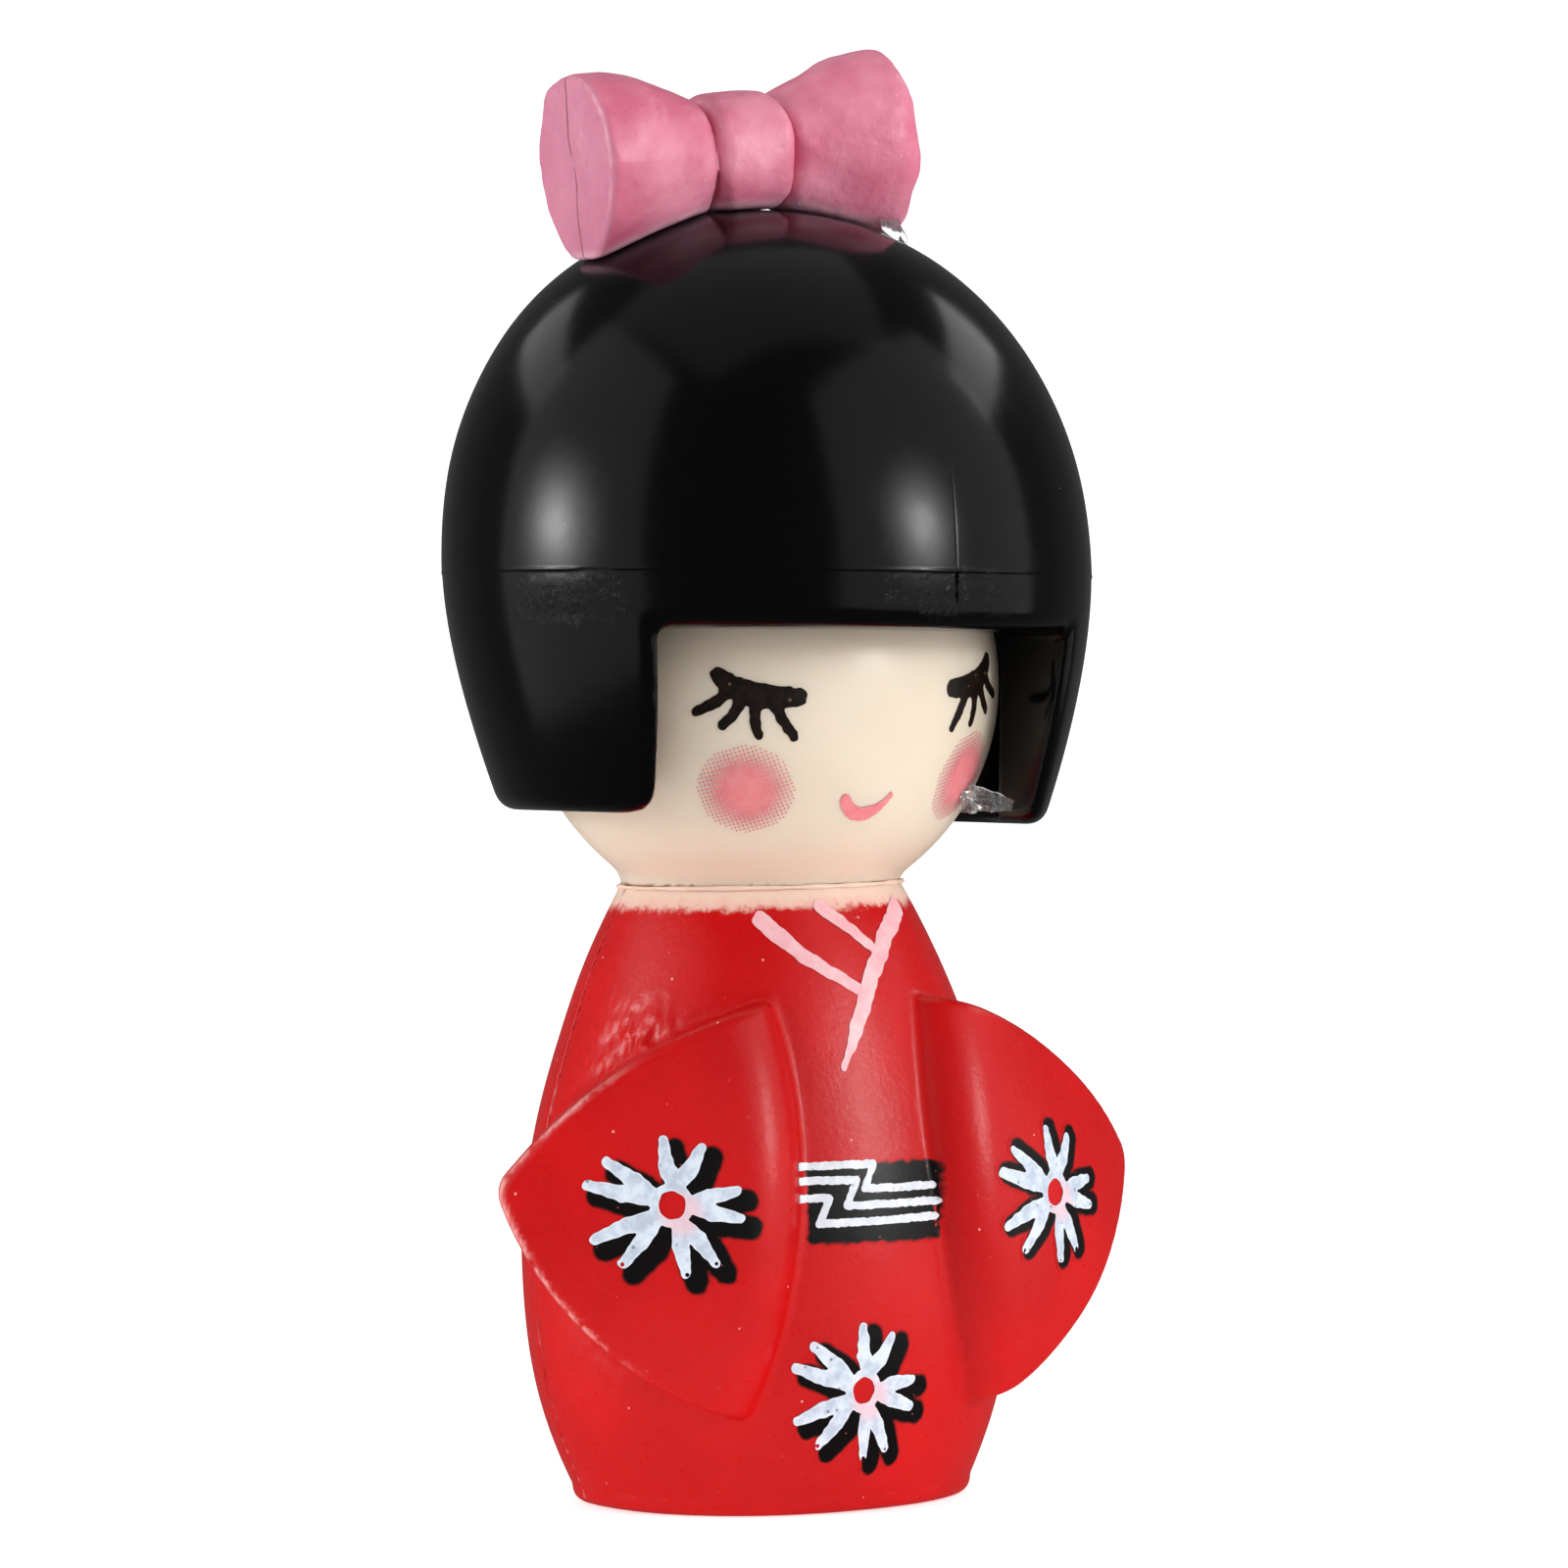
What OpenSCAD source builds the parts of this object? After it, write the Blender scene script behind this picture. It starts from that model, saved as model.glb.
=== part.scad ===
// Small kokeshi figurine: a red kimono body made as two glued half shells, a round head that turns
// on a neck peg, a one-piece bob of black hair glued over the head, and a pink bow glued on top.
// Millimetres. +Z up, the doll faces -Y, and the origin is the centre of its flat base.

/* [Body] */
// Radius of the body at its widest
body_r = 8.5; // [8:0.1:9]
// Height of that widest ring
belly_z = 8.3; // [7.5:0.1:9]
// Radius of the flat base, where its rounded edge begins
base_r = 6.25; // [5.8:0.05:6.4]
// Radius of the base's rounded edge
base_edge_r = 0.6; // [0.4:0.1:0.8]
// Wall of the two half shells
wall = 1.5; // [1.2:0.1:1.8]
// How far behind the neck's axis the two halves meet
split_y = 0.8; // [0:0.1:1]

/* [Collar and neck] */
// Height of the collar's top face
collar_z = 21.2; // [20.8:0.1:21.6]
// Radius of the collar's top edge
collar_r = 4.85; // [4.7:0.05:5]
// Radius of the neck peg
peg_r = 2.6; // [2.2:0.1:2.8]
// Running clearance of the peg in its bore
peg_gap = 0.05; // [0.02:0.01:0.1]
// Gap between the collar and the head, and under the peg's flange
neck_gap = 0.12; // [0.1:0.01:0.2]
// Radius of the flange that keeps the peg in
flange_r = 3.5; // [3.2:0.1:3.8]
// Thickness of the flange
flange_t = 1.1; // [0.8:0.1:1.4]

/* [Sleeves] */
// Half the doll's width over the sleeve corners
sleeve_reach = 12.2; // [11:0.1:12.6]
// Radius of the sleeves' edges
sleeve_edge_r = 0.4; // [0.3:0.05:0.5]

/* [Head] */
// Radius of the head ball
head_r = 8.2; // [8:0.05:8.3]
// Height of its centre
head_z = 28.15; // [28:0.05:28.4]
// How far the head ball sits in front of the neck's axis
head_forward = 0.4; // [0:0.1:0.5]

/* [Hair] */
// Radius of the hair at its widest ring
hair_r = 11.2; // [11:0.05:11.4]
// Height of that widest ring
hair_z = 32.1; // [31.8:0.1:32.4]
// Height of the crown above the widest ring
crown_h = 12.3; // [12:0.1:12.5]
// How far the hair sits in front of the neck's axis
hair_forward = 0.8; // [0.4:0.1:0.9]
// Height of the hair's straight lower edge
hair_hem_z = 23.7; // [23.5:0.1:24.5]
// Height of the fringe's lower edge
fringe_z = 30.2; // [29.8:0.1:30.6]
// Half the width of the opening for the face
face_half_w = 7.55; // [7:0.05:7.6]
// Lean of the glued-on hair towards the doll's left
hair_lean = 2.5; // [0:0.5:3]
// Turn of the glued-on hair about the upright axis
hair_turn = -1.8; // [-3:0.2:0]

/* [Bow] */
// Length of the bow
bow_l = 11.6; // [10.5:0.1:12]
// Height of each loop at its open end
bow_end_h = 6.5; // [6:0.1:6.6]
// Depth of each loop at its open end
bow_end_d = 6; // [5.4:0.1:6.2]
// Width of the knot
knot_w = 3.1; // [2.6:0.1:3.4]
// Height of the bow's centre above the base
bow_z = 46.35; // [46.3:0.05:46.6]
// Tilt of the bow, with its end at the doll's left up
bow_tilt = 4; // [0:0.5:5]

/* [Hidden] */

// Smoothness of the large round shapes and of the small ones
FN_LARGE = 96;
FN_SMALL = 48;
FN_HULL = 32;
// Steps along a curve of an outline
STEPS = 12;

// Outline of the body: the collar sweeps out to the belly, and the skirt curves in to the base
COLLAR_CURVE = [[collar_r, collar_z], [6.83, 17.6], [body_r, 12.5], [body_r, belly_z]];
SKIRT_CURVE = [[body_r, belly_z], [body_r, 5.2], [7.9, 2.9], [base_r + base_edge_r, base_edge_r]];

// The hollow inside the body, between its floor and the ledge that the flange turns under
floor_t = 1.6;
ledge_z = 15.2;

// Locating pins that line up the two halves
pin_r = 0.7;
pin_l = 1.6;
pin_gap = 0.03;
boss_r = 1.5;
PIN_Z = [4, 11];

// How the hair narrows below its widest ring
taper = 0.063;
taper_power = 1.6;
// Exponent of the crown's curve: slightly fuller than an ellipse
crown_power = 2 / 2.15;
hair_gap = 0.04;

// Corners of the sleeve at the doll's left; its twin is mirrored
SLEEVE_TOP = [3.35, -6.7, 17.2];
SLEEVE_INNER = [2.75, -8.35, 10.6];
SLEEVE_BOTTOM = [4.6, -7.2, 3.9];
SLEEVE_OUTER = [sleeve_reach - sleeve_edge_r, -4.2, 11.1];
// Where its back meets the body
SLEEVE_ROOTS = [[2.6, -4.5, 16.2], [3.5, -5, 5.2], [7.2, -1.2, 12.2], [7.2, -1.6, 8.4]];

big = 60;

function bezier(p, t) =
    pow(1 - t, 3) * p[0] + 3 * t * pow(1 - t, 2) * p[1] + 3 * t * t * (1 - t) * p[2] + pow(t, 3) * p[3];

function curve(p) = [for (i = [0:STEPS]) bezier(p, i / STEPS)];

// The part of a curve between two heights, moved inwards by the wall
function inner_curve(p, low, high) =
    [for (q = curve(p)) if (q[1] > low && q[1] < high) [q[0] - wall, q[1]]];

function hair_r_at(drop) = hair_r - taper * pow(drop, taper_power);

// ---- Body ----

module body_outline() {
    edge = [for (a = [0:15:90]) [base_r + base_edge_r * cos(a), base_edge_r * (1 - sin(a))]];
    polygon(concat([[0, 0], [0, collar_z]], curve(COLLAR_CURVE), curve(SKIRT_CURVE), edge));
}

module body_hollow_outline() {
    upper = inner_curve(COLLAR_CURVE, floor_t + 0.2, ledge_z - 0.2);
    lower = inner_curve(SKIRT_CURVE, floor_t + 0.2, belly_z - 0.1);
    polygon(concat([[0, ledge_z], [upper[0][0] - 0.3, ledge_z]], upper, lower,
                   [[lower[len(lower) - 1][0] - 0.3, floor_t], [0, floor_t]]));
}

module sleeve() {
    hull() {
        for (p = [SLEEVE_TOP, SLEEVE_INNER, SLEEVE_BOTTOM, SLEEVE_OUTER])
            translate(p) sphere(r = sleeve_edge_r, $fn = 16);
        for (p = SLEEVE_ROOTS)
            translate(p) sphere(r = sleeve_edge_r, $fn = 8);
    }
}

module body_hollow() {
    rotate_extrude($fn = FN_LARGE) body_hollow_outline();
    translate([0, 0, ledge_z - 1])
        cylinder(r = peg_r + peg_gap, h = collar_z - ledge_z + 2, $fn = FN_SMALL);
}

// Bosses that reach from a half's wall to the plane where the halves meet
module bosses(from_y, to_y) {
    for (z = PIN_Z)
        translate([0, from_y, z]) rotate([-90, 0, 0])
            cylinder(r = boss_r, h = to_y - from_y, $fn = FN_SMALL);
}

module pin_row(r, from_y, to_y) {
    for (z = PIN_Z)
        translate([0, from_y, z]) rotate([-90, 0, 0])
            cylinder(r = r, h = to_y - from_y, $fn = FN_SMALL);
}

module body_front() {
    color([0.8, 0.06, 0.08])
    difference() {
        union() {
            difference() {
                union() {
                    rotate_extrude($fn = FN_LARGE) body_outline();
                    sleeve();
                    mirror([1, 0, 0]) sleeve();
                }
                body_hollow();
            }
            bosses(-7, split_y + 0.2);
        }
        pin_row(pin_r + pin_gap, split_y - pin_l - 0.2, split_y + 1);
        translate([-big / 2, split_y, -big / 2]) cube(big);
    }
}

module body_back() {
    color([0.8, 0.06, 0.08])
    union() {
        difference() {
            union() {
                difference() {
                    rotate_extrude($fn = FN_LARGE) body_outline();
                    body_hollow();
                }
                bosses(split_y - 0.2, 7);
            }
            translate([-big / 2, split_y - big, -big / 2]) cube(big);
        }
        pin_row(pin_r, split_y - pin_l, split_y + 1);
    }
}

// ---- Head ----

module head() {
    flange_top = ledge_z - neck_gap;
    color([0.93, 0.87, 0.78])
    union() {
        intersection() {
            translate([0, -head_forward, head_z]) sphere(r = head_r, $fn = FN_LARGE);
            translate([-big / 2, -big / 2, collar_z + neck_gap]) cube(big);
        }
        translate([0, 0, flange_top - 0.5])
            cylinder(r = peg_r, h = collar_z + 1 - flange_top + 0.5, $fn = FN_SMALL);
        translate([0, 0, flange_top - flange_t])
            cylinder(r = flange_r, h = flange_t, $fn = FN_SMALL);
    }
}

// ---- Hair ----

module hair_outline() {
    crown = [for (a = [0:7.5:90])
        [hair_r * pow(cos(a), crown_power), hair_z + crown_h * pow(sin(a), crown_power)]];
    depth = hair_z - hair_hem_z;
    side = [for (i = [STEPS:-1:1]) [hair_r_at(depth * i / STEPS), hair_z - depth * i / STEPS]];
    polygon(concat([[0, hair_hem_z]], side, crown));
}

// Turns and leans its children about the head's centre, as the hair was glued on
module as_glued() {
    translate([0, -head_forward, head_z]) rotate([0, hair_lean, hair_turn])
        translate([0, head_forward, -head_z]) children();
}

module hair_solid() {
    as_glued() translate([0, -hair_forward, 0]) rotate_extrude($fn = FN_LARGE) hair_outline();
}

module hair_cap() {
    cavity_r = head_r + hair_gap;
    color([0.03, 0.03, 0.035])
    difference() {
        hair_solid();
        translate([0, -head_forward, head_z]) sphere(r = cavity_r, $fn = FN_LARGE);
        as_glued() {
            translate([0, -head_forward, head_z - 10]) cylinder(r = cavity_r, h = 10, $fn = FN_LARGE);
            translate([-face_half_w, -15, hair_hem_z - 5])
                cube([2 * face_half_w, 12, fringe_z - hair_hem_z + 5]);
        }
    }
}

// ---- Bow ----

// One upright oval slice of a loop, at x, with a given depth and height
module loop_slice(x, depth, height, t) {
    translate([x, 0, 0]) rotate([90, 0, 90]) linear_extrude(t)
        scale([depth, height]) circle(d = 1, $fn = FN_HULL);
}

module bow_loop() {
    hull() {
        loop_slice(knot_w / 2 - 0.6, 4.4, 3.9, 0.1);
        loop_slice(bow_l * 0.36, bow_end_d, bow_end_h - 0.2, 0.1);
        loop_slice(bow_l / 2 - 0.7, bow_end_d, bow_end_h, 0.3);
        loop_slice(bow_l / 2 - 0.1, bow_end_d - 0.7, bow_end_h - 0.7, 0.1);
    }
}

module bow_solid() {
    translate([-0.6, -0.5, bow_z]) rotate([0, -bow_tilt, 0]) {
        bow_loop();
        mirror([1, 0, 0]) bow_loop();
        translate([-knot_w / 2, 0, 0]) loop_slice(0, 4.8, 4.4, knot_w);
    }
}

module bow() {
    color([0.85, 0.45, 0.56])
    difference() {
        bow_solid();
        translate([0, 0, 0.01]) hair_solid();
    }
}

// ---- Glue ----

// Bead that squeezed out under the bow's end at the doll's left
module bow_glue() {
    color([0.95, 0.95, 0.93, 0.5])
    difference() {
        translate([4.9, -2.3, 43.15]) sphere(r = 0.62, $fn = FN_SMALL);
        bow_solid();
        hair_solid();
    }
}

// Web of dried glue between the cheek and the hair's front edge at the doll's left
module hair_glue() {
    color([0.95, 0.95, 0.93, 0.4])
    difference() {
        hull() {
            translate([5, -5.4, 23.6]) cylinder(r = 0.14, h = 1.5, $fn = 16);
            translate([7.35, -6.7, 23.7]) cylinder(r = 0.14, h = 1.3, $fn = 16);
        }
        translate([0, -head_forward, head_z]) sphere(r = head_r, $fn = FN_LARGE);
        hair_cap();
    }
}

body_front();
body_back();
head();
hair_cap();
bow();
bow_glue();
hair_glue();
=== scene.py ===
"""Kokeshi figurine: the looks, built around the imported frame.

Every visible piece is a closed mesh made here. The moulded pieces are meshed from smooth fields, functions
that are negative inside the piece, and each printed decoration is a thin film of ink laid on them.
Fields work in millimetres. Meshes are written in metres, in the frame's own axes: the doll faces -Y and
+Z is up.
"""
import math
import bpy
import numpy as np
from mathutils import Matrix, Vector


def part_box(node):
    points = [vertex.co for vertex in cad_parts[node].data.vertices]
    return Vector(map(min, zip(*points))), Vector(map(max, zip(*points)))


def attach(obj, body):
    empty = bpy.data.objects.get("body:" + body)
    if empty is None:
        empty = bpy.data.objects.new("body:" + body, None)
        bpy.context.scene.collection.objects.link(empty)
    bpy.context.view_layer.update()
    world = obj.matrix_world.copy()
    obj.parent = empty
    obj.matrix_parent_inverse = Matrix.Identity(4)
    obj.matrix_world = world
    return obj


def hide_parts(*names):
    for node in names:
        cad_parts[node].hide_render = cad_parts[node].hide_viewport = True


MM = 0.001

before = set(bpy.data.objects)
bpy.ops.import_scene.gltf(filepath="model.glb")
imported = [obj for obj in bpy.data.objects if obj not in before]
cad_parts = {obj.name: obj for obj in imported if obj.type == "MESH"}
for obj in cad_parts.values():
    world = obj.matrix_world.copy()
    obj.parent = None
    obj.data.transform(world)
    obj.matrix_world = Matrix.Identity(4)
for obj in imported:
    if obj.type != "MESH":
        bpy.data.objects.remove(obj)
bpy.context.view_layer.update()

# ======== Sizes, from the frame

def size_of(node):
    """Lowest and highest corners of a CAD node, in millimetres."""
    low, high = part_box(node)
    return np.array(low) / MM, np.array(high) / MM


HEAD_LOW, HEAD_HIGH = size_of("head")
FRONT_LOW, FRONT_HIGH = size_of("body_front")
BACK_LOW, BACK_HIGH = size_of("body_back")
HAIR_LOW, HAIR_HIGH = size_of("hair_cap")
BOW_LOW, BOW_HIGH = size_of("bow")

COLLAR_Z = FRONT_HIGH[2]
BODY_R = BACK_HIGH[0]
SPLIT_Y = FRONT_HIGH[1]
SLEEVE_REACH = FRONT_HIGH[0]
HEAD_R = (HEAD_HIGH[0] - HEAD_LOW[0]) / 2
HEAD_CENTRE = np.array([0.0, HEAD_LOW[1] + HEAD_R, HEAD_HIGH[2] - HEAD_R])
HAIR_R = (HAIR_HIGH[1] - HAIR_LOW[1]) / 2

# Heights and radii that the CAD model sets inside its own nodes
BELLY_Z = 8.3
BASE_R = 6.85
COLLAR_R = 4.85
LEDGE_Z = 15.2
NECK_SLACK = 0.04
NECK_GAP = 0.025
PEG_R, PEG_HALF, PEG_Z = 2.6, 3.6, 18.2
FLANGE_R, FLANGE_HALF = 3.5, 0.55
FLANGE_Z = LEDGE_Z - 0.12 - FLANGE_HALF
BORE_SLACK = 0.05
HOLLOW_LOW = 1.6
WALL = 1.5
HAIR_Z = 31.8
CROWN_H = 12.6
HAIR_FORWARD = 0.8
HAIR_LEAN = math.radians(1.6)
HAIR_TURN = math.radians(-1.8)
HEM_Z = 23.5
HEM_TILT = 0.025
CRACK_X = 1.75
FRINGE_Z = 29.87
FACE_HALF_W = 7.55
BOW_CENTRE = np.array([-0.65, -0.45, 46.3])
BOW_TILT = math.radians(5.4)

# ======== Fields

def smooth_min(a, b, k):
    h = np.maximum(k - np.abs(a - b), 0) / k
    return np.minimum(a, b) - h * h * k / 4


def smooth_max(a, b, k):
    return -smooth_min(-a, -b, k)


def smooth_step(low, high, x):
    t = np.clip((x - low) / (high - low), 0, 1)
    return t * t * (3 - 2 * t)


def bezier(points, count=120):
    t = np.linspace(0, 1, count)[:, None]
    p = np.array(points, float)
    return ((1 - t) ** 3 * p[0] + 3 * t * (1 - t) ** 2 * p[1]
            + 3 * t ** 2 * (1 - t) * p[2] + t ** 3 * p[3])


class Ripple:
    """Smooth unevenness: a seeded sum of sine waves, about -1 to 1, with waves about one size long."""

    def __init__(self, seed, size, waves=14):
        rng = np.random.default_rng(seed)
        direction = rng.normal(size=(waves, 3))
        direction /= np.linalg.norm(direction, axis=1)[:, None]
        self.k = direction * (2 * math.pi / size) * rng.uniform(0.6, 1.5, waves)[:, None]
        self.phase = rng.uniform(0, 2 * math.pi, waves)
        self.gain = 1.6 / math.sqrt(waves)

    def __call__(self, x, y, z):
        total = 0
        for k, phase in zip(self.k, self.phase):
            total = total + np.sin(k[0] * x + k[1] * y + k[2] * z + phase)
        return total * self.gain * 0.6


# The body's outline: the collar sweeps out to the belly, and the skirt curves in to the base
_outline = np.vstack([
    bezier([(COLLAR_R, COLLAR_Z), (6.83, 17.6), (BODY_R, 12.5), (BODY_R, BELLY_Z)]),
    bezier([(BODY_R, BELLY_Z), (BODY_R, 5.2), (7.9, 2.9), (BASE_R, 0.6)])[1:],
])[::-1]
OUTLINE_Z, OUTLINE_R = _outline[:, 1], _outline[:, 0]
OUTLINE_SLOPE = np.gradient(OUTLINE_R, OUTLINE_Z)

WIDENED, FLATTENED = 0.015, 0.045
COLLAR_ROUND, BASE_ROUND = 0.08, 0.6
SLEEVE_BLEND = 0.28
# Sink marks above and below the doll's right sleeve: centre, reach and strength
SINKS = [((-6.4, -3.1, 15.9), 2.6, 1.0), ((-7.4, -3.9, 6.2), 2.8, 0.7)]

body_waves = Ripple(11, 6.0)
sink_waves = Ripple(12, 1.1)
sink_folds = Ripple(13, 0.55)


def body_radius(z):
    return np.interp(z, OUTLINE_Z, OUTLINE_R)


def revolved_body(x, y, z):
    """The body without its sleeves: slightly wider than it is deep below the shoulders."""
    flat = 1 - smooth_step(12, 20, z)
    q = np.hypot(x / (1 + WIDENED * flat), y / (1 - FLATTENED * flat))
    slope = np.interp(z, OUTLINE_Z, OUTLINE_SLOPE)
    side = (q - body_radius(z)) / np.sqrt(1 + slope ** 2)
    return smooth_max(smooth_max(side, z - COLLAR_Z, COLLAR_ROUND), -z, BASE_ROUND)


# The sleeve's front face: a plane turned outwards, with along and up as its in-plane directions
SLEEVE_TURN = math.radians(29)
SLEEVE_OUT = np.array([math.sin(SLEEVE_TURN), -math.cos(SLEEVE_TURN)])
SLEEVE_ALONG = np.array([math.cos(SLEEVE_TURN), math.sin(SLEEVE_TURN)])
# Outline corners of the sleeve in (along, up): top, outer, bottom
SLEEVE_TOP, SLEEVE_OUTER, SLEEVE_BOTTOM = (-0.5, 17.5), (8.8, 11.5), (0.4, 3.35)
SLEEVE_FRONT = 10.05
SLEEVE_CREST_Z = 9.6


def beyond_arc(s, z, start, end, bulge):
    """Distance outside the circular arc from start to end, which bulges to the left of that way."""
    start, end = np.array(start), np.array(end)
    chord = end - start
    length = np.hypot(*chord)
    radius = length ** 2 / (8 * bulge) + bulge / 2
    left = np.array([-chord[1], chord[0]]) / length
    centre = (start + end) / 2 - left * (radius - bulge)
    return np.hypot(s - centre[0], z - centre[1]) - radius


def sleeve_front(x, y, z):
    """Distance in front of a sleeve's pillowed face."""
    out = SLEEVE_OUT[0] * x + SLEEVE_OUT[1] * y
    along = SLEEVE_ALONG[0] * x + SLEEVE_ALONG[1] * y
    front = out - SLEEVE_FRONT + 0.028 * (z - SLEEVE_CREST_Z) ** 2 + 0.022 * (along - 3.6) ** 2
    return front / np.sqrt(1 + (0.056 * (z - SLEEVE_CREST_Z)) ** 2)


def sleeve_rim(along, z):
    """Distance outside the two long arcs of a sleeve's outline, which meet at its outer corner."""
    top = beyond_arc(along, z, SLEEVE_TOP, SLEEVE_OUTER, 0.9)
    bottom = beyond_arc(along, z, SLEEVE_OUTER, SLEEVE_BOTTOM, 1.45)
    return smooth_max(top, bottom, 0.45)


def sleeve(x, y, z):
    """One sleeve, at positive x; its twin comes from the absolute value of x."""
    along = SLEEVE_ALONG[0] * x + SLEEVE_ALONG[1] * y
    front = sleeve_front(x, y, z)
    rim = sleeve_rim(along, z)
    inner = beyond_arc(along, z, SLEEVE_BOTTOM, SLEEVE_TOP, 1.35)
    back = (x - SLEEVE_REACH + 0.9) * 0.55 + (y + 2.9) * 0.835
    shell = smooth_max(smooth_max(front, inner, 1.7), rim, 0.42)
    return smooth_max(shell, back, 0.5)


def sleeve_flash(x, y, z):
    """One along the front rim of the doll's right sleeve, where the mould left a thin flash."""
    along = -SLEEVE_ALONG[0] * x + SLEEVE_ALONG[1] * y
    edge = np.abs(sleeve_rim(along, z) + 0.08)
    behind = -sleeve_front(-x, y, z)
    line = smooth_step(0.16, 0.02, edge) * smooth_step(0.30, 0.12, behind)
    return line * smooth_step(3.5, 6.5, along) * (x < 0)


def near(x, y, z, centre, reach):
    """One at centre, falling smoothly to nothing at reach."""
    d2 = ((x - centre[0]) ** 2 + (y - centre[1]) ** 2 + (z - centre[2]) ** 2) / reach ** 2
    return np.clip(1 - d2, 0, 1) ** 2


def body_surface(x, y, z):
    """The outside of the body with both sleeves, and the sink marks beside the doll's right sleeve."""
    f = smooth_min(revolved_body(x, y, z), sleeve(np.abs(x), y, z), SLEEVE_BLEND)
    marks = sum(strength * near(x, y, z, centre, reach) for centre, reach, strength in SINKS)
    dents = marks * (0.05 * sink_waves(x, y, z) + 0.035 * sink_folds(x, y, z))
    return f + 0.02 * body_waves(x, y, z) + dents


def body_hollow(x, y, z):
    """The space inside the two half shells, with the neck's bore."""
    r = np.hypot(x, y)
    room = np.maximum(r - (body_radius(z) - WALL), np.maximum(z - LEDGE_Z, HOLLOW_LOW - z))
    bore = np.maximum(r - (PEG_R + BORE_SLACK), LEDGE_Z - 1 - z)
    return np.minimum(room, bore)


SEAM_HALF, SEAM_ROUND = 0.005, 0.09


def body_shell(x, y, z):
    return smooth_max(body_surface(x, y, z), -body_hollow(x, y, z), 0.05)


def body_front(x, y, z):
    return smooth_max(body_shell(x, y, z), y - SPLIT_Y + SEAM_HALF, SEAM_ROUND)


def body_back(x, y, z):
    return smooth_max(body_shell(x, y, z), SPLIT_Y + SEAM_HALF - y, SEAM_ROUND)


head_waves = Ripple(21, 5.0)


def out_of_head(turn, z):
    """The unit vector from the head's centre towards its surface, at a bearing and a height."""
    sine = (z - HEAD_CENTRE[2]) / HEAD_R
    flat = np.sqrt(1 - sine ** 2)
    return np.stack([np.sin(turn) * flat, -np.cos(turn) * flat, sine], -1)


def head_surface(x, y, z):
    d = np.sqrt((x - HEAD_CENTRE[0]) ** 2 + (y - HEAD_CENTRE[1]) ** 2 + (z - HEAD_CENTRE[2]) ** 2)
    return d - HEAD_R + 0.012 * head_waves(x, y, z)


def head(x, y, z):
    r = np.hypot(x, y)
    neck = np.maximum(r - COLLAR_R + NECK_SLACK, z - COLLAR_Z - 0.6)
    ball = smooth_max(smooth_min(head_surface(x, y, z), neck, 0.35), COLLAR_Z + NECK_GAP - z, 0.05)
    peg = np.maximum(r - PEG_R, np.abs(z - PEG_Z) - PEG_HALF)
    flange = np.maximum(r - FLANGE_R, np.abs(z - FLANGE_Z) - FLANGE_HALF)
    return np.minimum(smooth_min(ball, peg, 0.1), flange)


# ---- Hair, in its own upright frame before it is leaned and turned onto the head

hair_waves = Ripple(31, 7.0)
scuff_folds = Ripple(32, 0.8)
fin_wear = Ripple(33, 2.2)
CROWN_POWER = 2.15
CAVITY_R = HEAD_R + 0.04
FIN_H, FIN_HALF, STEP_H = 0.035, 0.05, 0.02
CRACK_HALF, CRACK_DEPTH, CRACK_LENGTH = 0.035, 0.12, 1.2
KNIT_DEPTH, KNIT_LENGTH = 0.006, 6.0
HEM_ROUND, OPENING_ROUND = 0.6, 0.75
SCUFF_DEPTH = 0.008
OPENING_SPLAY, OPENING_TAPER = 0.05, 0.09
# The moulding is drawn off true: its crown sits this far right and back for each millimetre of height
HAIR_SHEAR = (-0.018, 0.045)


def hair_surface(x, y, z):
    """The hair's outer skin, which is widest at its parting line."""
    rise = z - HAIR_Z
    r = np.hypot(x - HAIR_SHEAR[0] * rise, y + HAIR_FORWARD - HAIR_SHEAR[1] * rise)
    up = np.maximum(z - HAIR_Z, 0) / CROWN_H
    crown = ((r / HAIR_R) ** CROWN_POWER + up ** CROWN_POWER) ** (1 / CROWN_POWER) - 1
    down = np.clip(HAIR_Z - z, 0, 12)
    lower = r - (HAIR_R - 0.063 * down ** 1.6)
    skin = np.where(z > HAIR_Z, crown * HAIR_R, lower)
    # The parting line: a thin fin of flash above a slight step
    worn = 0.5 + 0.5 * np.clip(fin_wear(x, y, 0 * z), -1, 1)
    fin = FIN_H * worn * np.exp(-((z - HAIR_Z) / FIN_HALF) ** 2)
    step = STEP_H * smooth_step(-0.05, 0.05, HAIR_Z - z)
    return skin - fin + step + 0.012 * hair_waves(x, y, z)


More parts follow.
